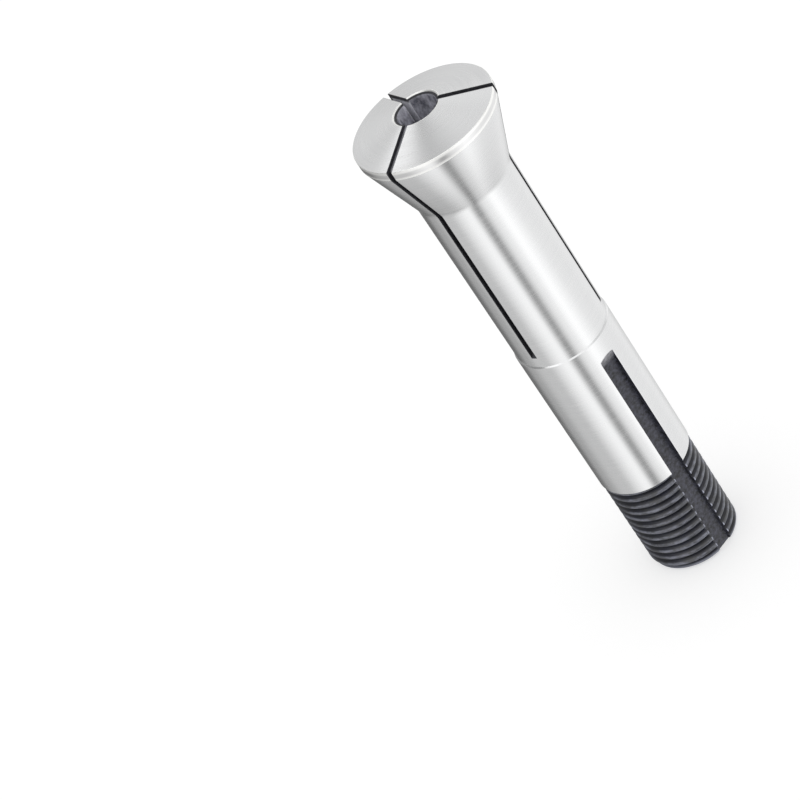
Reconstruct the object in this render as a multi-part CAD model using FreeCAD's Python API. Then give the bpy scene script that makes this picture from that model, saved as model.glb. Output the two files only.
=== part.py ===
import FreeCAD, Part
import math
import os

# A drawbar spring collet, turned, slotted and ground from one bar of spring steel.
# It stands on its threaded tail: the origin is the centre of the tail's end face,
# and +Z runs up the axis to the jaws. The keyway faces +X. All sizes are in millimetres.

# Sections of the outside, from the tail up
thread_length = 24.4
guide_length = 37.2
neck_length = 40.25
taper_length = 13.4
land_length = 1.85

# Diameters of the outside
thread_diameter = 19.6
guide_diameter = 20.0
neck_diameter = 19.5
head_diameter = 28.25

# Front face of the jaws, a shallow cone that rises to the bore
face_angle = 14.0

# Gripping bore, and the wider bore behind it that leaves the jaws' stems thin enough to flex
grip_diameter = 8.0
grip_length = 26.0
spring_bore_diameter = 12.0
spring_bore_cone_angle = 59.0

# Slots that part the head into jaws, cut by a saw that comes in from the outside
slot_count = 3
slot_width = 1.0
slot_stop_margin = 2.5
saw_radius = 31.5
saw_reach = 3.0

# Keyway milled along the guide and out through the thread
keyway_width = 3.7
keyway_floor_radius = 8.5
keyway_start_gap = 4.45
keyway_cutter_radius = 20.0
keyway_to_slot_angle = 46.5

# Broken edges
tail_chamfer = 0.9
thread_shoulder_chamfer = 0.15
guide_lead_angle = 45.0
rim_chamfer = 0.1
mouth_chamfer = 0.45
mouth_chamfer_depth = 0.2
tail_bore_chamfer = 0.5
taper_foot_radius = 4.0

# How far a cutting tool passes beyond the metal that it clears
overcut = 1.0

# Heights and radii that follow from the sizes above
thread_top = thread_length
step_height = thread_top + guide_length
taper_foot = step_height + neck_length
taper_top = taper_foot + taper_length
rim_height = taper_top + land_length
thread_radius = thread_diameter / 2
guide_radius = guide_diameter / 2
neck_radius = neck_diameter / 2
head_radius = head_diameter / 2
grip_radius = grip_diameter / 2
spring_bore_radius = spring_bore_diameter / 2
mouth_radius = grip_radius + mouth_chamfer
face_rise = (head_radius - rim_chamfer - mouth_radius) * math.tan(math.radians(face_angle))
front_height = rim_height + face_rise


def point(radius, height):
    """A point of the section, in the plane y = 0."""
    return FreeCAD.Vector(radius, 0, height)


def polygon_face(points):
    """The flat face inside a closed outline of straight edges."""
    return Part.Face(Part.makePolygon(points + [points[0]]))


def outer_outline():
    """Outside of the section, from the tail's bore up to the mouth of the gripping bore."""
    guide_lead = (guide_radius - neck_radius) / math.tan(math.radians(guide_lead_angle))
    return [
        point(spring_bore_radius + tail_bore_chamfer, 0),
        point(thread_radius - tail_chamfer, 0),
        point(thread_radius, tail_chamfer),
        point(thread_radius, thread_top),
        point(guide_radius - thread_shoulder_chamfer, thread_top),
        point(guide_radius, thread_top + thread_shoulder_chamfer),
        point(guide_radius, step_height - guide_lead),
        point(neck_radius, step_height),
        point(neck_radius, taper_foot),
        point(head_radius, taper_top),
        point(head_radius, rim_height - rim_chamfer),
        point(head_radius - rim_chamfer, rim_height),
        point(mouth_radius, front_height),
    ]


def inner_outline():
    """Bores of the section, from the mouth of the gripping bore down to the tail."""
    grip_foot = front_height - grip_length
    cone_height = (spring_bore_radius - grip_radius) / math.tan(math.radians(spring_bore_cone_angle))
    return [
        point(grip_radius, front_height - mouth_chamfer_depth),
        point(grip_radius, grip_foot),
        point(spring_bore_radius, grip_foot - cone_height),
        point(spring_bore_radius, tail_bore_chamfer),
    ]


def turned_blank():
    """The collet as it leaves the lathe: one section turned about the axis, its taper blended."""
    section = polygon_face(outer_outline() + inner_outline())
    blank = section.revolve(FreeCAD.Vector(0, 0, 0), FreeCAD.Vector(0, 0, 1), 360)
    foot_edges = [edge for edge in blank.Edges if is_taper_foot(edge)]
    return blank.makeFillet(taper_foot_radius, foot_edges)


def is_taper_foot(edge):
    """True for the circle where the closing taper meets the neck."""
    if not isinstance(edge.Curve, Part.Circle):
        return False
    at_foot = abs(edge.Curve.Center.z - taper_foot) < 1e-6
    return at_foot and abs(edge.Curve.Radius - neck_radius) < 1e-6


def slot_cut(angle):
    """One jaw slot: open at the front, with the saw's round run-out at its lower end."""
    slot_foot = step_height + slot_stop_margin
    saw_axis_radius = saw_reach + saw_radius
    saw_axis_height = slot_foot + math.sqrt(saw_radius ** 2 - (saw_axis_radius - neck_radius) ** 2)
    outside = head_radius + overcut
    above = front_height + overcut

    def on_saw(radius):
        drop = math.sqrt(saw_radius ** 2 - (saw_axis_radius - radius) ** 2)
        return point(radius, saw_axis_height - drop)

    inner_foot = point(saw_reach, saw_axis_height)
    run_out = Part.Arc(inner_foot, on_saw((saw_reach + outside) / 2), on_saw(outside)).toShape()
    outer_side = Part.LineSegment(on_saw(outside), point(outside, above)).toShape()
    front_side = Part.LineSegment(point(outside, above), point(saw_reach, above)).toShape()
    inner_side = Part.LineSegment(point(saw_reach, above), inner_foot).toShape()
    profile = Part.Face(Part.Wire([run_out, outer_side, front_side, inner_side]))
    profile.translate(FreeCAD.Vector(0, -slot_width / 2, 0))
    cut = profile.extrude(FreeCAD.Vector(0, slot_width, 0))
    cut.rotate(FreeCAD.Vector(0, 0, 0), FreeCAD.Vector(0, 0, 1), angle)
    return cut


def keyway_cut():
    """Flat-bottomed keyway, open at the tail, whose floor curves up to the guide at its start."""
    start = step_height - keyway_start_gap
    outside = guide_radius + overcut
    depth = guide_radius - keyway_floor_radius
    rise = keyway_cutter_radius - depth
    run = math.sqrt(keyway_cutter_radius ** 2 - rise ** 2)
    middle_angle = math.acos(rise / keyway_cutter_radius) / 2
    cutter_radius_at = keyway_floor_radius + keyway_cutter_radius
    curve_foot = point(keyway_floor_radius, start - run)
    curve_middle = point(
        cutter_radius_at - keyway_cutter_radius * math.cos(middle_angle),
        start - run + keyway_cutter_radius * math.sin(middle_angle),
    )
    curve_top = point(guide_radius, start)
    corners = [
        curve_top,
        point(outside, start),
        point(outside, -overcut),
        point(keyway_floor_radius, -overcut),
        curve_foot,
    ]
    curve = Part.Arc(curve_foot, curve_middle, curve_top).toShape()
    sides = [Part.LineSegment(a, b).toShape() for a, b in zip(corners, corners[1:])]
    profile = Part.Face(Part.Wire([curve] + sides))
    profile.translate(FreeCAD.Vector(0, -keyway_width / 2, 0))
    return profile.extrude(FreeCAD.Vector(0, keyway_width, 0))


def spring_collet():
    """The finished collet: the turned blank with its slots and its keyway cut."""
    slot_angles = [keyway_to_slot_angle + 360 / slot_count * i for i in range(slot_count)]
    cuts = [slot_cut(angle) for angle in slot_angles]
    return turned_blank().cut(cuts + [keyway_cut()])


os.makedirs("parts", exist_ok=True)
collet = spring_collet()
collet.exportStep("parts/spring_collet.step")

box = collet.optimalBoundingBox()
print("overall length", round(box.ZLength, 2), "head diameter", round(box.XLength, 2))
print("valid", collet.isValid(), "solids", len(collet.Solids), "volume", round(collet.Volume, 1))
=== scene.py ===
import math

import bmesh
import bpy
from mathutils import Matrix, Quaternion, Vector


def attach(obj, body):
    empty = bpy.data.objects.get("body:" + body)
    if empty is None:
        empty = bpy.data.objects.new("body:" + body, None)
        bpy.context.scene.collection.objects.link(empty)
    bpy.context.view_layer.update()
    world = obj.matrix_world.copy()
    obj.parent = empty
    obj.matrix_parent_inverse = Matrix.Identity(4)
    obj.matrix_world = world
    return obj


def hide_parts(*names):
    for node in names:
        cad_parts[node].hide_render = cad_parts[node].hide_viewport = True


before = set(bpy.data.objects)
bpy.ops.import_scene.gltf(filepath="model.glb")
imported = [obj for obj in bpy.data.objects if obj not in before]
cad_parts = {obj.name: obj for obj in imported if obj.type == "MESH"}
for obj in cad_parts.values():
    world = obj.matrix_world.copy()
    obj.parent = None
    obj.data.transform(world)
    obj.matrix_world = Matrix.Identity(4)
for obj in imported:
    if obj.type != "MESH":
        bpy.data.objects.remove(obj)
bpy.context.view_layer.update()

# A drawbar spring collet that stands on its threaded tail, +Z up its axis, keyway towards +X.
# The mesh is made in millimetres and brought to metres at the end.
METRES_PER_MM = 0.001

# Sections of the outside, from the tail up
THREAD_LENGTH = 24.4
GUIDE_LENGTH = 37.2
NECK_LENGTH = 40.25
TAPER_LENGTH = 13.4
LAND_LENGTH = 1.85

# Radii of the outside and of the bores
THREAD_RADIUS = 9.8
GUIDE_RADIUS = 10.0
NECK_RADIUS = 9.75
HEAD_RADIUS = 14.125
GRIP_RADIUS = 4.0
SPRING_BORE_RADIUS = 6.0

# Front face, a shallow cone that rises to the bore, and the bore behind it
FACE_ANGLE = math.radians(14)
GRIP_LENGTH = 26.0
SPRING_BORE_CONE_ANGLE = math.radians(59)

# Chamfers and blends
TAIL_CHAMFER = 0.9
SHOULDER_CHAMFER = 0.15
RIM_CHAMFER = 0.1
MOUTH_CHAMFER = 0.45
MOUTH_CHAMFER_DEPTH = 0.2
TAIL_BORE_CHAMFER = 0.5
TAPER_FOOT_RADIUS = 4.0
EDGE_BREAK = 0.1

# Edge of the countersunk mouth, broken at 45 degrees, and the band round it with a painted highlight
MOUTH_EDGE = 0.2
MOUTH_HIGHLIGHT_BAND = 0.12

# Slots that part the head into jaws, with the saw's round run-out
SLOT_COUNT = 3
SLOT_WIDTH = 1.0
SLOT_STOP_MARGIN = 2.5
SAW_RADIUS = 31.5
SAW_REACH = 3.0
SLOT_ANGLE = math.radians(46.5)

# Keyway along the guide and out through the thread
KEYWAY_WIDTH = 3.7
KEYWAY_FLOOR_RADIUS = 8.5
KEYWAY_START_GAP = 4.45
KEYWAY_CUTTER_RADIUS = 20.0

# Right-hand drawbar thread, 60 degrees between its flanks, its crests rounded by wear and rolling
THREAD_PITCH = 2.0
THREAD_DEPTH = 1.08
THREAD_CREST_WIDTH = 0.08
THREAD_CREST_RADIUS = 0.5
THREAD_FLANK_ANGLE = math.radians(30)
THREAD_PHASE = math.radians(100)

# How finely the round shapes are divided
COLUMNS_PER_JAW = 120
EDGE_STRIP = 0.25
BLEND_STEPS = 6
RUN_OUT_STEPS = 12
RAMP_STEPS = 14
CREST_STEPS = 6
THREAD_STEPS_PER_TURN = 180
SMOOTH_UP_TO = math.radians(20)

# How far the cutters pass beyond the metal, and how many turns of groove lie beyond the thread
CLEARANCE = 0.5
GROOVE_CLEARANCE = 0.15
SPARE_TURNS = 3
TURNS_BELOW_TAIL = 2

# How near the saw's path a face is run-out, and how far inside the guide's surface it is keyway
RUN_OUT_MARGIN = 0.1
KEYWAY_MARGIN = 0.03

# The crest's rounding starts this far outside the metal, so that the cut runs clean along it
CREST_LIFT = 0.01

# Where grey steel shows through the thread's oxide, from 0 to 1, partly wear and partly painted light: along
# the crests down to a depth, where it also paints highlight lines, at their corners beside the keyway, where
# it also paints glints, and on the tail's chamfer, fading out between two heights
WEAR_AND_HIGHLIGHT_DEPTH = 0.27
WEAR_AND_GLINT_BESIDE_KEYWAY = 0.3
CREST_WEAR_AND_HIGHLIGHT = 0.34
LIP_WEAR = 0.4
LIP_WEAR_FULL = 0.8
LIP_WEAR_NONE = 1.1

# How far down the keyway's ramp it turns lighter grey steel in patches
RAMP_GREY_LENGTH = 2.5

# Depth of the finest marks, in metres: grinding marks on bright steel, and grain of the oxide
GRINDING_RELIEF = 1.1e-6
OXIDE_RELIEF = 8e-6

# Where the slots' walls are pale grey: inside the head's outside and its front face, down to a depth
PALE_PATCH_MARGIN = 1.2
FACE_MARGIN = 0.6
PALE_PATCH_DEPTH = 9.0
PALE_PATCH_FADE = 0.5

# Heights and radii that follow from the sizes above
STEP_HEIGHT = THREAD_LENGTH + GUIDE_LENGTH
TAPER_FOOT = STEP_HEIGHT + NECK_LENGTH
TAPER_TOP = TAPER_FOOT + TAPER_LENGTH
RIM_HEIGHT = TAPER_TOP + LAND_LENGTH
MOUTH_RADIUS = GRIP_RADIUS + MOUTH_CHAMFER
HIGHLIGHT_BAND_RADIUS = MOUTH_RADIUS + MOUTH_EDGE + MOUTH_HIGHLIGHT_BAND
FRONT_HEIGHT = RIM_HEIGHT + (HEAD_RADIUS - RIM_CHAMFER - MOUTH_RADIUS) * math.tan(FACE_ANGLE)
MOUTH_EDGE_FOOT = FRONT_HEIGHT - MOUTH_EDGE * (1 + math.tan(FACE_ANGLE))
GRIP_FOOT = FRONT_HEIGHT - GRIP_LENGTH
SLOT_FOOT = STEP_HEIGHT + SLOT_STOP_MARGIN
SAW_AXIS_RADIUS = SAW_REACH + SAW_RADIUS
SAW_AXIS_HEIGHT = SLOT_FOOT + math.sqrt(SAW_RADIUS ** 2 - (SAW_AXIS_RADIUS - NECK_RADIUS) ** 2)
KEYWAY_START = STEP_HEIGHT - KEYWAY_START_GAP
SLOT_TURNS = [2 * math.pi / SLOT_COUNT * i for i in range(SLOT_COUNT)]
TINY = 1e-4

# The collet's finishes, in the order of its material slots
FINISHES = ["ground", "land", "thread", "keyway", "slot", "bore"]


def saw_path(radius):
    """Height of a slot's lower end at that distance from the axis."""
    return SAW_AXIS_HEIGHT - math.sqrt(SAW_RADIUS ** 2 - (SAW_AXIS_RADIUS - radius) ** 2)


def taper_foot_blend():
    """Points of the arc that blends the neck into the closing taper."""
    lean = math.atan2(HEAD_RADIUS - NECK_RADIUS, TAPER_LENGTH)
    centre_radius = NECK_RADIUS + TAPER_FOOT_RADIUS
    centre_height = TAPER_FOOT - TAPER_FOOT_RADIUS * math.tan(lean / 2)
    points = []
    for step in range(BLEND_STEPS + 1):
        angle = math.pi - lean * step / BLEND_STEPS
        radius = centre_radius + TAPER_FOOT_RADIUS * math.cos(angle)
        points.append((radius, centre_height + TAPER_FOOT_RADIUS * math.sin(angle)))
    return points


def section():
    """Closed outline of the turned section, up the outside and down the bores."""
    cone_height = (SPRING_BORE_RADIUS - GRIP_RADIUS) / math.tan(SPRING_BORE_CONE_ANGLE)
    outside = [
        (SPRING_BORE_RADIUS + TAIL_BORE_CHAMFER, 0),
        (THREAD_RADIUS - TAIL_CHAMFER, 0),
        (THREAD_RADIUS, TAIL_CHAMFER),
        (THREAD_RADIUS, THREAD_LENGTH),
        (GUIDE_RADIUS - SHOULDER_CHAMFER, THREAD_LENGTH),
        (GUIDE_RADIUS, THREAD_LENGTH + SHOULDER_CHAMFER),
        (GUIDE_RADIUS, STEP_HEIGHT - (GUIDE_RADIUS - NECK_RADIUS)),
        (NECK_RADIUS, STEP_HEIGHT),
        (NECK_RADIUS, SLOT_FOOT),
        *taper_foot_blend(),
        (HEAD_RADIUS, TAPER_TOP),
        (HEAD_RADIUS, RIM_HEIGHT - RIM_CHAMFER),
        (HEAD_RADIUS - RIM_CHAMFER, RIM_HEIGHT),
        (HIGHLIGHT_BAND_RADIUS, FRONT_HEIGHT - (MOUTH_EDGE + MOUTH_HIGHLIGHT_BAND) * math.tan(FACE_ANGLE)),
        (MOUTH_RADIUS + MOUTH_EDGE, FRONT_HEIGHT - MOUTH_EDGE * math.tan(FACE_ANGLE)),
    ]
    inside = [
        (MOUTH_RADIUS, MOUTH_EDGE_FOOT),
        (GRIP_RADIUS, MOUTH_EDGE_FOOT - MOUTH_CHAMFER_DEPTH),
        (GRIP_RADIUS, GRIP_FOOT),
        (SPRING_BORE_RADIUS, GRIP_FOOT - cone_height),
        (SPRING_BORE_RADIUS, saw_path(SPRING_BORE_RADIUS)),
        (SPRING_BORE_RADIUS, TAIL_BORE_CHAMFER),
    ]
    return outside + inside


def add_loop(bm, points):
    """Adds a closed loop of edges through the points."""
    verts = [bm.verts.new(point) for point in points]
    return [bm.edges.new(pair) for pair in zip(verts, verts[1:] + verts[:1])]


def loop_verts(edges):
    """The vertices of some edges, each once."""
    return list({vert for edge in edges for vert in edge.verts})


def turned_blank():
    """The section spun about the axis, one column of faces for each step."""
    bm = bmesh.new()
    edges = add_loop(bm, [(radius, 0, height) for radius, height in section()])
    bmesh.ops.spin(
        bm,
        geom=loop_verts(edges) + edges,
        axis=(0, 0, 1),
        cent=(0, 0, 0),
        angle=2 * math.pi,
        steps=COLUMNS_PER_JAW * SLOT_COUNT,
        use_merge=True,
    )
    return bm


def follow_slot_sides(bm):
    """Slides the columns round the axis a little, so that the ones beside a slot run along its sides.
    The first column of a jaw is its slot's middle, the next its side, and the rest share the jaw."""
    jaw_angle = 2 * math.pi / SLOT_COUNT
    columns = COLUMNS_PER_JAW * SLOT_COUNT
    for vert in bm.verts:
        radius = math.hypot(vert.co.x, vert.co.y)
        column = round(math.atan2(vert.co.y, vert.co.x) / (2 * math.pi) * columns) % columns
        jaw, place = divmod(column, COLUMNS_PER_JAW)
        side = math.asin(SLOT_WIDTH / 2 / radius)
        strip = math.asin((SLOT_WIDTH / 2 + EDGE_STRIP) / radius)
        share = (place - 2) / (COLUMNS_PER_JAW - 4)
        offset = strip + share * (jaw_angle - 2 * strip)
        if place == 0:
            offset = 0
        elif place == 1:
            offset = side
        elif place == COLUMNS_PER_JAW - 1:
            offset = jaw_angle - side
        angle = jaw * jaw_angle + offset
        vert.co.x = radius * math.cos(angle)
        vert.co.y = radius * math.sin(angle)


def in_slot_frame(point, turn):
    """The point turned so that the slot's middle plane is y = 0."""
    return Matrix.Rotation(-turn, 3, "Z") @ point


def open_slot(bm, turn):
    """Opens one slot and gives it its saw run-out."""
    cleared = []
    for face in bm.faces:
        centre = in_slot_frame(face.calc_center_median(), turn)
        if centre.x > 0 and abs(centre.y) < SLOT_WIDTH / 2 and centre.z > saw_path(centre.x):
            cleared.append(face)
    bmesh.ops.delete(bm, geom=cleared, context="FACES")
    ends = []
    for edge in bm.edges:
        first, second = [in_slot_frame(vert.co, turn) for vert in edge.verts]
        level = abs(first.z - second.z) < TINY
        near = first.x > 0 and max(abs(first.y), abs(second.y)) < SLOT_WIDTH / 2 + TINY
        if edge.is_boundary and level and near:
            ends.append(edge)
    strip = bmesh.ops.bridge_loops(bm, edges=ends)
    cut = bmesh.ops.subdivide_edges(bm, edges=strip["edges"], cuts=RUN_OUT_STEPS - 1)
    for vert in cut["geom_inner"]:
        if isinstance(vert, bmesh.types.BMVert):
            vert.co.z = saw_path(in_slot_frame(vert.co, turn).x)


def break_slot_edges(bm, walls):
    """Rounds the edges where the slots' walls meet the outside and the bore, as a deburring wheel does."""
    wall_set = set(walls)
    edges = []
    for wall in walls:
        for edge in wall.edges:
            for face in edge.link_faces:
                if face not in wall_set and not is_run_out(face):
                    edges.append(edge)
    for edge in bm.edges:
        kinds = [is_run_out(face) for face in edge.link_faces]
        across = any(kinds) and not all(kinds)
        if across and not wall_set & set(edge.link_faces) and edge.verts[0].co.z < SLOT_FOOT + TINY:
            edges.append(edge)
    bmesh.ops.bevel(
        bm,
        geom=edges,
        offset=EDGE_BREAK,
        offset_type="OFFSET",
        segments=2,
        profile=0.5,
        affect="EDGES",
        material=-1,
        clamp_overlap=True,
    )


def is_run_out(face):
    """True for a face of a slot's saw run-out."""
    centre = face.calc_center_median()
    for turn in SLOT_TURNS:
        local = in_slot_frame(centre, turn)
        inside = SPRING_BORE_RADIUS < local.x < NECK_RADIUS and abs(local.y) < SLOT_WIDTH / 2 - TINY
        if inside and abs(local.z - saw_path(local.x)) < RUN_OUT_MARGIN:
            return True
    return False


def slotted_blank():
    """The blank with its three slots, turned so that the keyway's side faces +X."""
    bm = turned_blank()
    follow_slot_sides(bm)
    for turn in SLOT_TURNS:
        open_slot(bm, turn)
    open_edges = [edge for edge in bm.edges if edge.is_boundary]
    walls = bmesh.ops.holes_fill(bm, edges=open_edges, sides=0)["faces"]
    bmesh.ops.recalc_face_normals(bm, faces=bm.faces[:])
    break_slot_edges(bm, walls)
    bmesh.ops.rotate(bm, verts=bm.verts[:], cent=(0, 0, 0), matrix=Matrix.Rotation(SLOT_ANGLE, 3, "Z"))
    return bm


def groove_side():
    """One side of the thread's groove from its root outwards: radius and distance from its middle.
    It flares at the crest with the crest's rounding, and goes on clear of the metal."""
    turn = math.pi / 2 - THREAD_FLANK_ANGLE
    crest_edge = (THREAD_PITCH - THREAD_CREST_WIDTH) / 2
    side = []
    for step in range(CREST_STEPS + 1):
        angle = turn * (1 - step / CREST_STEPS)
        radius = THREAD_RADIUS + CREST_LIFT - THREAD_CREST_RADIUS * (1 - math.cos(angle))
        side.append((radius, crest_edge - THREAD_CREST_RADIUS * math.sin(angle)))
    flank_top, flank_offset = side[0]
    root = THREAD_RADIUS - THREAD_DEPTH
    root_offset = flank_offset - (flank_top - root) * math.tan(THREAD_FLANK_ANGLE)
    return [(root, root_offset), *side, (THREAD_RADIUS + GROOVE_CLEARANCE, crest_edge)]


def thread_cutter():
    """The thread's groove as one long helical solid, cut off flat at the shoulder."""
    bm = bmesh.new()
    lower = [(radius, 0, -offset) for radius, offset in groove_side()]
    upper = [(radius, 0, offset) for radius, offset in groove_side()]
    edges = add_loop(bm, lower + upper[::-1])
    bmesh.ops.spin(
        bm,
        geom=loop_verts(edges) + edges,
        axis=(0, 0, 1),
        cent=(0, 0, 0),
        dvec=(0, 0, THREAD_PITCH / THREAD_STEPS_PER_TURN),
        angle=2 * math.pi,
        steps=THREAD_STEPS_PER_TURN,
        use_merge=False,
    )
    first_turn = bm.verts[:] + bm.edges[:] + bm.faces[:]
    turns = math.ceil(THREAD_LENGTH / THREAD_PITCH) + SPARE_TURNS
    for turn in range(1, turns):
        copied = bmesh.ops.duplicate(bm, geom=first_turn)["geom"]
        copied_verts = [item for item in copied if isinstance(item, bmesh.types.BMVert)]
        bmesh.ops.translate(bm, verts=copied_verts, vec=(0, 0, THREAD_PITCH * turn))
    bmesh.ops.remove_doubles(bm, verts=bm.verts[:], dist=TINY)
    bmesh.ops.translate(bm, verts=bm.verts[:], vec=(0, 0, -TURNS_BELOW_TAIL * THREAD_PITCH))
    bmesh.ops.rotate(bm, verts=bm.verts[:], cent=(0, 0, 0), matrix=Matrix.Rotation(THREAD_PHASE, 3, "Z"))
    bmesh.ops.holes_fill(bm, edges=[edge for edge in bm.edges if edge.is_boundary], sides=0)
    bmesh.ops.bisect_plane(
        bm,
        geom=bm.verts[:] + bm.edges[:] + bm.faces[:],
        dist=TINY,
        plane_co=(0, 0, THREAD_LENGTH),
        plane_no=(0, 0, 1),
        clear_outer=True,
    )
    bmesh.ops.holes_fill(bm, edges=[edge for edge in bm.edges if edge.is_boundary], sides=0)
    bmesh.ops.recalc_face_normals(bm, faces=bm.faces[:])
    return bm


def keyway_ring(height):
    """Section of the keyway's cutter at one height: flat floor, upright sides, edges flared to break them."""
    depth = GUIDE_RADIUS - KEYWAY_FLOOR_RADIUS
    run = math.sqrt(KEYWAY_CUTTER_RADIUS ** 2 - (KEYWAY_CUTTER_RADIUS - depth) ** 2)
    along = max(0.0, height - (KEYWAY_START - run))
    floor = KEYWAY_FLOOR_RADIUS + KEYWAY_CUTTER_RADIUS - math.sqrt(KEYWAY_CUTTER_RADIUS ** 2 - along ** 2)
    half = KEYWAY_WIDTH / 2
    outside = GUIDE_RADIUS if height > THREAD_LENGTH else THREAD_RADIUS
    flare = max(floor, math.sqrt(outside ** 2 - half ** 2) - EDGE_BREAK)
    clear = GUIDE_RADIUS + CLEARANCE
    flared_half = half + clear - flare
    return [
        (floor, -half, height),
        (flare, -half, height),
        (clear, -flared_half, height),
        (clear, flared_half, height),
        (flare, half, height),
        (floor, half, height),
    ]


def keyway_cutter():
    """The keyway's cutter: sections from below the tail up to where its floor meets the guide."""
    depth = GUIDE_RADIUS - KEYWAY_FLOOR_RADIUS
    run = math.sqrt(KEYWAY_CUTTER_RADIUS ** 2 - (KEYWAY_CUTTER_RADIUS - depth) ** 2)
    heights = [-CLEARANCE, THREAD_LENGTH, THREAD_LENGTH + TINY]
    heights += [KEYWAY_START - run * (1 - step / RAMP_STEPS) for step in range(RAMP_STEPS + 1)]
    bm = bmesh.new()
    rings = [add_loop(bm, keyway_ring(height)) for height in heights]
    for lower, upper in zip(rings, rings[1:]):
        bmesh.ops.bridge_loops(bm, edges=lower + upper)
    bmesh.ops.holes_fill(bm, edges=[edge for edge in bm.edges if edge.is_boundary], sides=0)
    bmesh.ops.recalc_face_normals(bm, faces=bm.faces[:])
    return bm


def to_object(bm, name):
    """Writes the bmesh into a new object of that name."""
    mesh = bpy.data.meshes.new(name)
    bm.to_mesh(mesh)
    bm.free()
    obj = bpy.data.objects.new(name, mesh)
    bpy.context.scene.collection.objects.link(obj)
    return obj


def cut_away(body, cutter_bm):
    """Takes the cutter's space out of the body."""
    cutter = to_object(cutter_bm, "cutter")
    boolean = body.modifiers.new("cut", "BOOLEAN")
    boolean.object = cutter
    boolean.operation = "DIFFERENCE"
    boolean.solver = "MANIFOLD"
    evaluated = body.evaluated_get(bpy.context.evaluated_depsgraph_get())
    mesh = bpy.data.meshes.new_from_object(evaluated)
    mesh.materials.clear()
    body.modifiers.clear()
    body.data = mesh
    bpy.data.objects.remove(cutter)


def surface_of(face):
    """Which of the FINISHES a face of the finished collet has, by where it lies in millimetres."""
    centre = face.calc_center_median()
    radius = math.hypot(centre.x, centre.y)
    for turn in SLOT_TURNS:
        local = in_slot_frame(centre, turn + SLOT_ANGLE)
        if local.x > 0 and abs(local.y) < SLOT_WIDTH / 2 + EDGE_BREAK and centre.z > SLOT_FOOT - EDGE_BREAK:
            return "slot"
    if radius < GRIP_RADIUS + TINY or (radius < SPRING_BORE_RADIUS + TINY and centre.z < GRIP_FOOT):
        return "bore"
    if radius < MOUTH_RADIUS:
        return "slot"
    # The band round the mouth carries the land's painted highlight
    if radius < HIGHLIGHT_BAND_RADIUS and centre.z > GRIP_FOOT:
        return "land"
    in_keyway = centre.x > 0 and abs(centre.y) < KEYWAY_WIDTH / 2 + TINY and centre.z < KEYWAY_START
    if in_keyway and radius < GUIDE_RADIUS - KEYWAY_MARGIN:
        return "keyway"
    if centre.z < THREAD_LENGTH + TINY:
        return "thread"
    if centre.z > TAPER_TOP and radius > HEAD_RADIUS - RIM_CHAMFER:
        return "land"
    return "ground"


def finish_mesh(body):
    """Cleans the cut mesh, gives each face its finish and brings it to metres."""
    bm = bmesh.new()
    bm.from_mesh(body.data)
    bmesh.ops.remove_doubles(bm, verts=bm.verts[:], dist=TINY)
    bmesh.ops.dissolve_degenerate(bm, dist=TINY, edges=bm.edges[:])
    for face in bm.faces:
        face.smooth = True
        face.material_index = FINISHES.index(surface_of(face))
    bmesh.ops.scale(bm, vec=(METRES_PER_MM,) * 3, verts=bm.verts[:])
    bm.to_mesh(body.data)
    bm.free()
    body.data.set_sharp_from_angle(angle=SMOOTH_UP_TO)


def spring_collet():
    """The collet as one closed mesh."""
    body = to_object(slotted_blank(), "collet_body")
    cut_away(body, thread_cutter())
    cut_away(body, keyway_cutter())
    finish_mesh(body)
    return body


def linear(hex_colour):
    """A hex sRGB colour as linear red, green, blue and full alpha."""
    channels = [int(hex_colour[i:i + 2], 16) / 255 for i in (1, 3, 5)]
    return [c / 12.92 if c <= 0.04045 else ((c + 0.055) / 1.055) ** 2.4 for c in channels] + [1.0]


def add_node(tree, kind, inputs=None, **settings):
    """Adds one node with its settings; inputs gives a socket a value or another node's output."""
    node = tree.nodes.new(kind)
    for name, value in settings.items():
        setattr(node, name, value)
    for socket, value in (inputs or {}).items():
        if isinstance(value, bpy.types.NodeSocket):
            tree.links.new(value, node.inputs[socket])
        else:
            node.inputs[socket].default_value = value
    return node


def new_material(name):
    """An empty material with its output node."""
    material = bpy.data.materials.new(name)
    material.use_nodes = True
    material.node_tree.nodes.clear()
    output = material.node_tree.nodes.new("ShaderNodeOutputMaterial")
    return material, material.node_tree, output


def place_on_collet(tree):
    """The shaded point's x, y and z in metres, and its distance from the axis."""
    place = add_node(tree, "ShaderNodeTexCoord").outputs["Object"]
    x, y, z = add_node(tree, "ShaderNodeSeparateXYZ", {0: place}).outputs
    flat = add_node(tree, "ShaderNodeCombineXYZ", {0: x, 1: y})
    radius = add_node(tree, "ShaderNodeVectorMath", {0: flat.outputs[0]}, operation="LENGTH")
    return x, y, z, radius.outputs["Value"]


def ring_coordinates(tree, round_mm, along_mm):
    """Coordinates that change slowly round the axis and quickly along the outline, for turned and
    ground marks."""
    x, y, z, radius = place_on_collet(tree)
    along = add_node(tree, "ShaderNodeMath", {0: radius, 1: z}, operation="ADD")
    drawn = add_node(tree, "ShaderNodeCombineXYZ", {0: x, 1: y, 2: along.outputs[0]})
    slow = 1 / (round_mm * METRES_PER_MM)
    fast = 1 / (along_mm * METRES_PER_MM)
    return add_node(
        tree,
        "ShaderNodeVectorMath",
        {0: drawn.outputs[0], 1: (slow, slow, fast)},
        operation="MULTIPLY",
    ).outputs[0]


def set_ramp(ramp_node, stops):
    """Gives a colour ramp its stops, each a place from 0 to 1 and a linear colour."""
    elements = ramp_node.color_ramp.elements
    while len(elements) < len(stops):
        elements.new(1.0)
    for element, (position, colour) in zip(elements, stops):
        element.position = position
        element.color = colour


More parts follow.
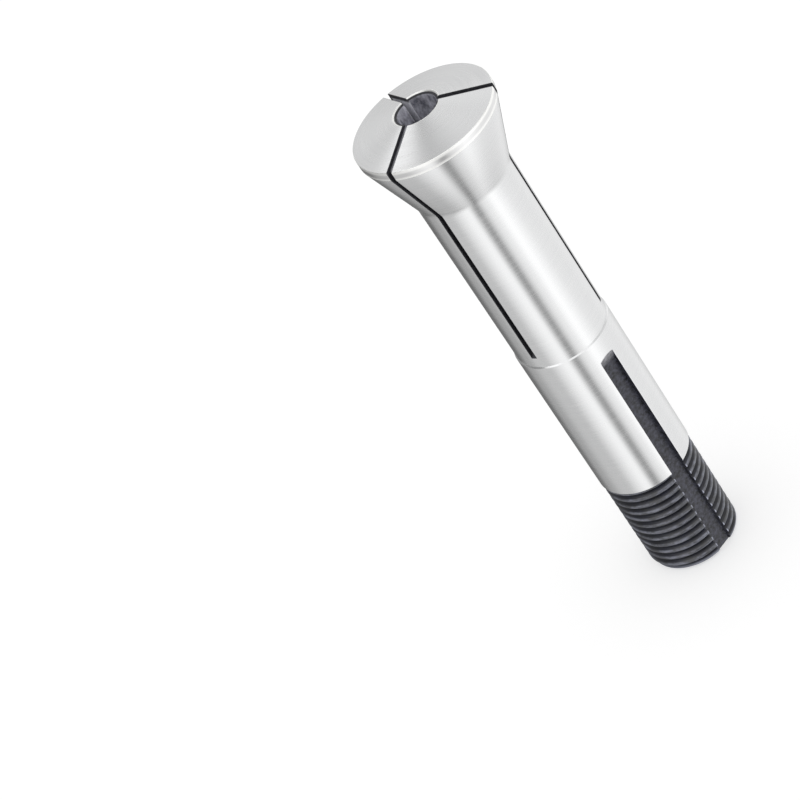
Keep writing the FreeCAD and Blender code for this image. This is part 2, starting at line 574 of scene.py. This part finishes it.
def ground_steel():
    """Cylindrically ground tool steel: bright, with fine rings round the axis that draw each highlight
    out along it, and a little change of tone from ring to ring."""
    material, tree, output = new_material("ground_tool_steel")
    rings = add_node(
        tree,
        "ShaderNodeTexNoise",
        {"Vector": ring_coordinates(tree, 14, 0.35), "Scale": 1.0, "Detail": 3.0, "Roughness": 0.6},
    )
    colour = add_node(
        tree,
        "ShaderNodeMix",
        {0: rings.outputs["Fac"], 6: linear("#D6D7D8"), 7: linear("#E7E7E7")},
        data_type="RGBA",
    )
    roughness = add_node(
        tree,
        "ShaderNodeMapRange",
        {0: rings.outputs["Fac"], 1: 0.3, 2: 0.7, 3: 0.22, 4: 0.29},
    )
    bump = add_node(
        tree,
        "ShaderNodeBump",
        {"Strength": 1.0, "Distance": GRINDING_RELIEF, "Height": rings.outputs["Fac"]},
    )
    around = add_node(tree, "ShaderNodeTangent", direction_type="RADIAL", axis="Z")
    shader = add_node(
        tree,
        "ShaderNodeBsdfPrincipled",
        {
            "Base Color": colour.outputs[2],
            "Metallic": 1.0,
            "Roughness": roughness.outputs[0],
            "Anisotropic": 0.8,
            "Anisotropic Rotation": 0.25,
            "Tangent": around.outputs[0],
            "Normal": bump.outputs[0],
        },
    )
    tree.links.new(shader.outputs[0], output.inputs[0])
    return material


def land_with_painted_highlights():
    """The head's land, turned and left a little matt, with a painted highlight near each of its two edges:
    two pale, glossier lines run round it with a greyer band between them. The band round the mouth's rim has
    the same painted highlight."""
    material, tree, output = new_material("land_with_painted_highlights")
    _, _, z, _ = place_on_collet(tree)
    height = add_node(
        tree,
        "ShaderNodeMapRange",
        {0: z, 1: TAPER_TOP * METRES_PER_MM, 2: RIM_HEIGHT * METRES_PER_MM, 3: 0.0, 4: 1.0},
    )
    bands = add_node(tree, "ShaderNodeValToRGB", {0: height.outputs[0]})
    # Painted highlight: white, glossier lines near both edges of the land, the greyer band between them in
    # the land's own colour
    wear_and_highlight = (1.0, 1.0, 1.0, 1.0)
    left = (0.0, 0.0, 0.0, 1.0)
    set_ramp(bands, [(0.0, wear_and_highlight), (0.14, wear_and_highlight), (0.32, left), (0.6, left), (0.8, wear_and_highlight), (1.0, wear_and_highlight)])
    colour = add_node(
        tree,
        "ShaderNodeMix",
        {0: bands.outputs[0], 6: linear("#DFDFDF"), 7: linear("#FFFFFD")},
        data_type="RGBA",
    )
    roughness = add_node(tree, "ShaderNodeMapRange", {0: bands.outputs[0], 1: 0.0, 2: 1.0, 3: 0.28, 4: 0.5})
    around = add_node(tree, "ShaderNodeTangent", direction_type="RADIAL", axis="Z")
    shader = add_node(
        tree,
        "ShaderNodeBsdfPrincipled",
        {
            "Base Color": colour.outputs[2],
            "Metallic": 1.0,
            "Roughness": roughness.outputs[0],
            "Anisotropic": 0.6,
            "Anisotropic Rotation": 0.25,
            "Tangent": around.outputs[0],
        },
    )
    tree.links.new(shader.outputs[0], output.inputs[0])
    return material


def oxide_grain(tree, dark, light, round_mm, along_mm):
    """Mottled colour and relief of an oxide film over cut steel."""
    grain = add_node(
        tree,
        "ShaderNodeTexNoise",
        {
            "Vector": ring_coordinates(tree, round_mm, along_mm),
            "Scale": 1.0,
            "Detail": 4.0,
            "Roughness": 0.65,
        },
    )
    tone = add_node(tree, "ShaderNodeMapRange", {0: grain.outputs["Fac"], 1: 0.35, 2: 0.65, 3: 0.0, 4: 1.0})
    colour = add_node(
        tree,
        "ShaderNodeMix",
        {0: tone.outputs[0], 6: linear(dark), 7: linear(light)},
        data_type="RGBA",
    )
    bump = add_node(
        tree,
        "ShaderNodeBump",
        {"Strength": 1.0, "Distance": OXIDE_RELIEF, "Height": grain.outputs["Fac"]},
    )
    return colour.outputs[2], bump.outputs[0], tone.outputs[0]


def pale_around_bore(tree):
    """How pale grey a slot's wall is, 0 to 1: around the gripping bore, but not near the outside."""
    _, _, z, radius = place_on_collet(tree)
    lean = (HEAD_RADIUS - NECK_RADIUS) / TAPER_LENGTH
    from_taper = add_node(
        tree,
        "ShaderNodeMath",
        {0: z, 1: -lean, 2: radius},
        operation="MULTIPLY_ADD",
    )
    taper = HEAD_RADIUS - lean * TAPER_TOP
    inside = falloff(tree, from_taper.outputs[0], taper - PALE_PATCH_MARGIN - PALE_PATCH_FADE, taper - PALE_PATCH_MARGIN)
    from_face = add_node(
        tree,
        "ShaderNodeMath",
        {0: radius, 1: math.tan(FACE_ANGLE), 2: z},
        operation="MULTIPLY_ADD",
    )
    face = FRONT_HEIGHT + MOUTH_RADIUS * math.tan(FACE_ANGLE)
    below = falloff(tree, from_face.outputs[0], face - FACE_MARGIN - PALE_PATCH_FADE, face - FACE_MARGIN)
    above = falloff(tree, z, FRONT_HEIGHT - PALE_PATCH_DEPTH, FRONT_HEIGHT - PALE_PATCH_DEPTH - PALE_PATCH_FADE)
    both = add_node(tree, "ShaderNodeMath", {0: inside, 1: below}, operation="MULTIPLY")
    return add_node(tree, "ShaderNodeMath", {0: both.outputs[0], 1: above}, operation="MULTIPLY").outputs[0]


def falloff(tree, distance, full, none):
    """1 at the distance called full and 0 at the one called none, both in millimetres."""
    return add_node(
        tree,
        "ShaderNodeMapRange",
        {0: distance, 1: full * METRES_PER_MM, 2: none * METRES_PER_MM, 3: 1.0, 4: 0.0},
    ).outputs[0]


def sawn_slot_wall():
    """Sawn slot walls and the mouth's countersink, black with oxide and dull, pale grey around the gripping
    bore."""
    material, tree, output = new_material("sawn_slot_wall")
    film, relief, _ = oxide_grain(tree, "#1E1E22", "#38383E", 0.6, 0.6)
    pale_patch = pale_around_bore(tree)
    colour = add_node(
        tree,
        "ShaderNodeMix",
        {0: pale_patch, 6: film, 7: linear("#E6E6EC")},
        data_type="RGBA",
    )
    shader = add_node(
        tree,
        "ShaderNodeBsdfPrincipled",
        {
            "Base Color": colour.outputs[2],
            "Metallic": 0.0,
            "Roughness": 0.6,
            "Normal": relief,
        },
    )
    tree.links.new(shader.outputs[0], output.inputs[0])
    return material


def oxidised_keyway():
    """Milled keyway under half dull black oxide, turning to lighter grey steel in patches on the ramp where
    the cutter came in.
    """
    material, tree, output = new_material("oxidised_keyway")
    film, relief, tone = oxide_grain(tree, "#040508", "#50515E", 0.8, 0.6)
    _, _, z, _ = place_on_collet(tree)
    start = KEYWAY_START * METRES_PER_MM
    on_ramp = add_node(
        tree,
        "ShaderNodeMapRange",
        {0: z, 1: start - RAMP_GREY_LENGTH * METRES_PER_MM, 2: start, 3: 0.0, 4: 1.0},
    )
    patches = add_node(tree, "ShaderNodeMapRange", {0: tone, 1: 0.0, 2: 1.0, 3: 0.4, 4: 1.0})
    grey_steel = add_node(tree, "ShaderNodeMath", {0: on_ramp.outputs[0], 1: patches.outputs[0]}, operation="MULTIPLY")
    colour = add_node(
        tree,
        "ShaderNodeMix",
        {0: grey_steel.outputs[0], 6: film, 7: linear("#D4D4D8")},
        data_type="RGBA",
    )
    shader = add_node(
        tree,
        "ShaderNodeBsdfPrincipled",
        {
            "Base Color": colour.outputs[2],
            "Metallic": grey_steel.outputs[0],
            "Roughness": 0.45,
            "Normal": relief,
        },
    )
    tree.links.new(shader.outputs[0], output.inputs[0])
    return material


def grey_steel_on_thread(tree, patches):
    """How much grey steel shows through the thread's oxide, 0 to 1, partly wear and partly painted light: in
    patches along the crests, where it also paints highlight lines, wholly at the crests' corners beside the
    keyway, where it also paints glints, and thinly on the tail's chamfer."""
    x, y, z, radius = place_on_collet(tree)
    aside = add_node(tree, "ShaderNodeMath", {0: y}, operation="ABSOLUTE").outputs[0]
    front = add_node(tree, "ShaderNodeMath", {0: x, 1: 0.0}, operation="GREATER_THAN").outputs[0]
    # Painted glints: grey steel at the crests' corners beside the keyway, which is wear there too
    beside = falloff(tree, aside, KEYWAY_WIDTH / 2, KEYWAY_WIDTH / 2 + WEAR_AND_GLINT_BESIDE_KEYWAY)
    wear_and_glint_corner = add_node(tree, "ShaderNodeMath", {0: beside, 1: front}, operation="MULTIPLY").outputs[0]
    # Patches along the crests, kept to their tops: wear, and a painted highlight line
    along = add_node(tree, "ShaderNodeMath", {0: patches, 1: CREST_WEAR_AND_HIGHLIGHT}, operation="MULTIPLY").outputs[0]
    most = add_node(tree, "ShaderNodeMath", {0: wear_and_glint_corner, 1: along}, operation="MAXIMUM").outputs[0]
    crest = falloff(tree, radius, THREAD_RADIUS, THREAD_RADIUS - WEAR_AND_HIGHLIGHT_DEPTH)
    on_crest = add_node(tree, "ShaderNodeMath", {0: most, 1: crest}, operation="MULTIPLY").outputs[0]
    chamfer = falloff(tree, radius, THREAD_RADIUS - TAIL_CHAMFER / 2, THREAD_RADIUS - TAIL_CHAMFER)
    wear_and_highlight = add_node(tree, "ShaderNodeMath", {0: chamfer, 1: LIP_WEAR}, operation="MULTIPLY").outputs[0]
    tail = falloff(tree, z, LIP_WEAR_FULL, LIP_WEAR_NONE)
    lip = add_node(tree, "ShaderNodeMath", {0: tail, 1: wear_and_highlight}, operation="MULTIPLY").outputs[0]
    return add_node(tree, "ShaderNodeMath", {0: on_crest, 1: lip}, operation="MAXIMUM").outputs[0]


def oxidised_thread():
    """Rolled thread under blue-black oxide, giving way to grey steel in patches along its crests, as wear and
    as a painted highlight, and at the corners beside the keyway, as wear and as painted glints."""
    material, tree, output = new_material("oxidised_thread")
    film, relief, tone = oxide_grain(tree, "#05070F", "#12162A", 2.6, 0.6)
    patches = add_node(tree, "ShaderNodeMapRange", {0: tone, 1: 0.3, 2: 1.0, 3: 0.1, 4: 1.0})
    # Grey steel through the oxide: wear, with painted highlight lines on the crests and painted glints beside
    # the keyway
    grey_steel = grey_steel_on_thread(tree, patches.outputs[0])
    colour = add_node(
        tree,
        "ShaderNodeMix",
        {0: grey_steel, 6: film, 7: linear("#D4D8EA")},
        data_type="RGBA",
    )
    shader = add_node(
        tree,
        "ShaderNodeBsdfPrincipled",
        {
            "Base Color": colour.outputs[2],
            "Metallic": grey_steel,
            "Roughness": 0.35,
            "IOR": 1.8,
            "Normal": relief,
        },
    )
    tree.links.new(shader.outputs[0], output.inputs[0])
    return material


def bored_steel():
    """Bored and hardened steel inside the gripping bore: a dull bluish grey, streaked along the bore."""
    material, tree, output = new_material("bored_steel")
    colour, relief, _ = oxide_grain(tree, "#6C6C76", "#E8E8F2", 1.6, 3.0)
    shader = add_node(
        tree,
        "ShaderNodeBsdfPrincipled",
        {"Base Color": colour, "Metallic": 0.3, "Roughness": 0.5, "Normal": relief},
    )
    tree.links.new(shader.outputs[0], output.inputs[0])
    return material


# Light tent: brightness of its lower wall by azimuth in degrees, with the dark gap that the camera
# looks in through, and a shaded side
LOWER_WALL = [
    (-180, 0.14),
    (-168, 0.17),
    (-159, 0.33),
    (-151, 0.55),
    (-143, 0.42),
    (-135, 0.55),
    (-118, 0.72),
    (-95, 0.7),
    (-79, 1.05),
    (-63, 1.3),
    (-52, 1.35),
    (-45, 0.85),
    (-39, 0.43),
    (-32, 0.39),
    (-26, 0.8),
    (-18, 1.1),
    (-7, 1.22),
    (0, 1.4),
    (9, 1.5),
    (20, 1.35),
    (41, 1.12),
    (73, 1.05),
    (105, 1.1),
    (129, 0.75),
    (145, 0.7),
    (160, 0.3),
    (180, 0.14),
]

# Brightness of the tent's upper wall by azimuth in degrees
UPPER_WALL = [
    (-180, 0.84),
    (-168, 0.35),
    (-125, 0.4),
    (-105, 0.85),
    (-85, 1.2),
    (100, 1.2),
    (125, 0.84),
    (180, 0.84),
]

# Brightness of the tent's slopes above that by azimuth, dark where the tent is open at both sides
SLOPES = [
    (-180, 1.05),
    (-174, 1.05),
    (-164, 0.12),
    (-114, 0.12),
    (-106, 1.5),
    (-85, 1.5),
    (-70, 1.3),
    (15, 1.3),
    (30, 0.85),
    (62, 0.8),
    (78, 0.12),
    (104, 0.12),
    (116, 1.0),
    (139, 1.02),
    (146, 1.0),
    (153, 0.86),
    (160, 0.7),
    (168, 0.6),
    (173, 0.85),
    (180, 1.05),
]

# Brightness of the tent's ceiling and of its floor, against what is beside them
CEILING = 0.15
FLOOR_SHEET = 0.55
BRIGHTEST = 1.5

# Where one storey goes over into the next, as sines of the elevation
FLOOR_TO_WALL = (-1.0, -0.7)
LOWER_TO_UPPER = (-0.2, 0.05)
UPPER_TO_SLOPES = (0.45, 0.62)
SLOPES_TO_CEILING = (0.9, 0.98)

# The plain level at which all that isn't metal is lit
EVEN_LIGHT = 0.9

# A soft lamp high on the far side, which lights one sector of the coned face
LAMP_AZIMUTH = math.radians(175.5)
LAMP_ELEVATION = math.radians(51)
LAMP_CORE = math.radians(3)
LAMP_RIM = math.radians(12)
LAMP_LEVEL = 0.75


def tent_wall(tree, azimuth, levels):
    """Brightness of one storey of the tent by azimuth."""
    place = add_node(tree, "ShaderNodeMapRange", {0: azimuth, 1: -math.pi, 2: math.pi, 3: 0.0, 4: 1.0})
    wall = add_node(tree, "ShaderNodeValToRGB", {0: place.outputs[0]})
    set_ramp(wall, [((angle + 180) / 360, (level / BRIGHTEST,) * 3 + (1.0,)) for angle, level in levels])
    return wall.outputs[0]


def soft_lamp(tree, direction):
    """What the soft lamp adds in a direction: full in its core, nothing outside its rim."""
    level = math.cos(LAMP_ELEVATION)
    aim = (level * math.cos(LAMP_AZIMUTH), level * math.sin(LAMP_AZIMUTH), math.sin(LAMP_ELEVATION))
    towards = add_node(tree, "ShaderNodeVectorMath", {0: direction, 1: aim}, operation="DOT_PRODUCT")
    glow = add_node(
        tree,
        "ShaderNodeMapRange",
        {
            0: towards.outputs["Value"],
            1: math.cos(LAMP_RIM),
            2: math.cos(LAMP_CORE),
            3: 0.0,
            4: LAMP_LEVEL / BRIGHTEST,
        },
        interpolation_type="SMOOTHSTEP",
    )
    return glow.outputs[0]


def light_tent():
    """A white tent lights the collet evenly. Metal sees its walls, the camera sees plain white."""
    world = bpy.data.worlds.new("light_tent")
    bpy.context.scene.world = world
    world.use_nodes = True
    tree = world.node_tree
    tree.nodes.clear()
    direction = add_node(tree, "ShaderNodeTexCoord").outputs["Generated"]
    x, y, z = add_node(tree, "ShaderNodeSeparateXYZ", {0: direction}).outputs
    azimuth = add_node(tree, "ShaderNodeMath", {0: y, 1: x}, operation="ARCTAN2").outputs[0]
    storey = add_node(
        tree,
        "ShaderNodeMapRange",
        {0: z, 1: LOWER_TO_UPPER[0], 2: LOWER_TO_UPPER[1], 3: 0.0, 4: 1.0},
    )
    wall = add_node(
        tree,
        "ShaderNodeMix",
        {
            0: storey.outputs[0],
            6: tent_wall(tree, azimuth, LOWER_WALL),
            7: tent_wall(tree, azimuth, UPPER_WALL),
        },
        data_type="RGBA",
    )
    slope = add_node(
        tree,
        "ShaderNodeMapRange",
        {0: z, 1: UPPER_TO_SLOPES[0], 2: UPPER_TO_SLOPES[1], 3: 0.0, 4: 1.0},
    )
    wall = add_node(
        tree,
        "ShaderNodeMix",
        {0: slope.outputs[0], 6: wall.outputs[2], 7: tent_wall(tree, azimuth, SLOPES)},
        data_type="RGBA",
    )
    low = add_node(
        tree,
        "ShaderNodeMapRange",
        {0: z, 1: FLOOR_TO_WALL[0], 2: FLOOR_TO_WALL[1], 3: FLOOR_SHEET, 4: 1.0},
    )
    high = add_node(
        tree,
        "ShaderNodeMapRange",
        {0: z, 1: SLOPES_TO_CEILING[0], 2: SLOPES_TO_CEILING[1], 3: 1.0, 4: CEILING},
    )
    ends = add_node(tree, "ShaderNodeMath", {0: low.outputs[0], 1: high.outputs[0]}, operation="MULTIPLY")
    level = add_node(
        tree,
        "ShaderNodeMath",
        {0: wall.outputs[2], 1: ends.outputs[0], 2: soft_lamp(tree, direction)},
        operation="MULTIPLY_ADD",
    )
    seen = add_node(tree, "ShaderNodeBackground", {"Color": level.outputs[0], "Strength": BRIGHTEST})
    even = add_node(tree, "ShaderNodeBackground", {"Color": (1, 1, 1, 1), "Strength": EVEN_LIGHT})
    white = add_node(tree, "ShaderNodeBackground", {"Color": (1, 1, 1, 1), "Strength": 1.0})
    rays = add_node(tree, "ShaderNodeLightPath")
    lit = add_node(
        tree,
        "ShaderNodeMixShader",
        {0: rays.outputs["Is Glossy Ray"], 1: even.outputs[0], 2: seen.outputs[0]},
    )
    shown = add_node(
        tree,
        "ShaderNodeMixShader",
        {0: rays.outputs["Is Camera Ray"], 1: lit.outputs[0], 2: white.outputs[0]},
    )
    add_node(tree, "ShaderNodeOutputWorld", {0: shown.outputs[0]})


# The paper sheet under the tail: half its width in metres, its shade, and how far the camera's
# view of it is lifted towards white
SHEET_REACH = 4.0
SHEET_SHADE = 0.6
SHEET_LIFT = 0.5


def pale_floor():
    """A wide white sheet under the tail, which keeps the collet's soft shadow."""
    bm = bmesh.new()
    bmesh.ops.create_grid(bm, x_segments=1, y_segments=1, size=SHEET_REACH)
    floor = to_object(bm, "floor")
    material, tree, output = new_material("white_paper_sheet")
    paper = add_node(tree, "ShaderNodeBsdfDiffuse", {"Color": (SHEET_SHADE,) * 3 + (1.0,)})
    lift = add_node(tree, "ShaderNodeEmission", {"Color": (1, 1, 1, 1), "Strength": SHEET_LIFT})
    both = add_node(tree, "ShaderNodeAddShader", {0: paper.outputs[0], 1: lift.outputs[0]})
    rays = add_node(tree, "ShaderNodeLightPath")
    shown = add_node(
        tree,
        "ShaderNodeMixShader",
        {0: rays.outputs["Is Camera Ray"], 1: paper.outputs[0], 2: both.outputs[0]},
    )
    tree.links.new(shown.outputs[0], output.inputs[0])
    floor.data.materials.append(material)
    floor.visible_glossy = False


# Camera at the photograph's place, rolled as the collet leans in it
CAMERA_TARGET = Vector((-0.01254, -0.03002, 0.07005))
CAMERA_DISTANCE = 0.48237
CAMERA_AZIMUTH = math.radians(-22.67)
CAMERA_ELEVATION = math.radians(35.35)
CAMERA_ROLL = math.radians(35.89)
CAMERA_LENS = 115.42
CAMERA_SENSOR = 36
CAMERA_NEAR = 0.01


def add_camera():
    """The camera, looking down on the collet from its head's side."""
    data = bpy.data.cameras.new("camera")
    data.lens = CAMERA_LENS
    data.sensor_width = CAMERA_SENSOR
    data.clip_start = CAMERA_NEAR
    camera = bpy.data.objects.new("camera", data)
    bpy.context.scene.collection.objects.link(camera)
    level = math.cos(CAMERA_ELEVATION)
    out = Vector((
        level * math.cos(CAMERA_AZIMUTH),
        level * math.sin(CAMERA_AZIMUTH),
        math.sin(CAMERA_ELEVATION),
    ))
    camera.location = CAMERA_TARGET + CAMERA_DISTANCE * out
    upright = (-out).to_track_quat("-Z", "Y")
    camera.rotation_mode = "QUATERNION"
    camera.rotation_quaternion = upright @ Quaternion((0, 0, 1), -CAMERA_ROLL)
    bpy.context.scene.camera = camera


collet = spring_collet()
materials = {
    "ground": ground_steel(),
    "land": land_with_painted_highlights(),
    "thread": oxidised_thread(),
    "keyway": oxidised_keyway(),
    "slot": sawn_slot_wall(),
    "bore": bored_steel(),
}
for finish in FINISHES:
    collet.data.materials.append(materials[finish])
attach(collet, "root")
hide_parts("spring_collet")

light_tent()
pale_floor()
add_camera()

bpy.context.scene.view_settings.view_transform = "Standard"
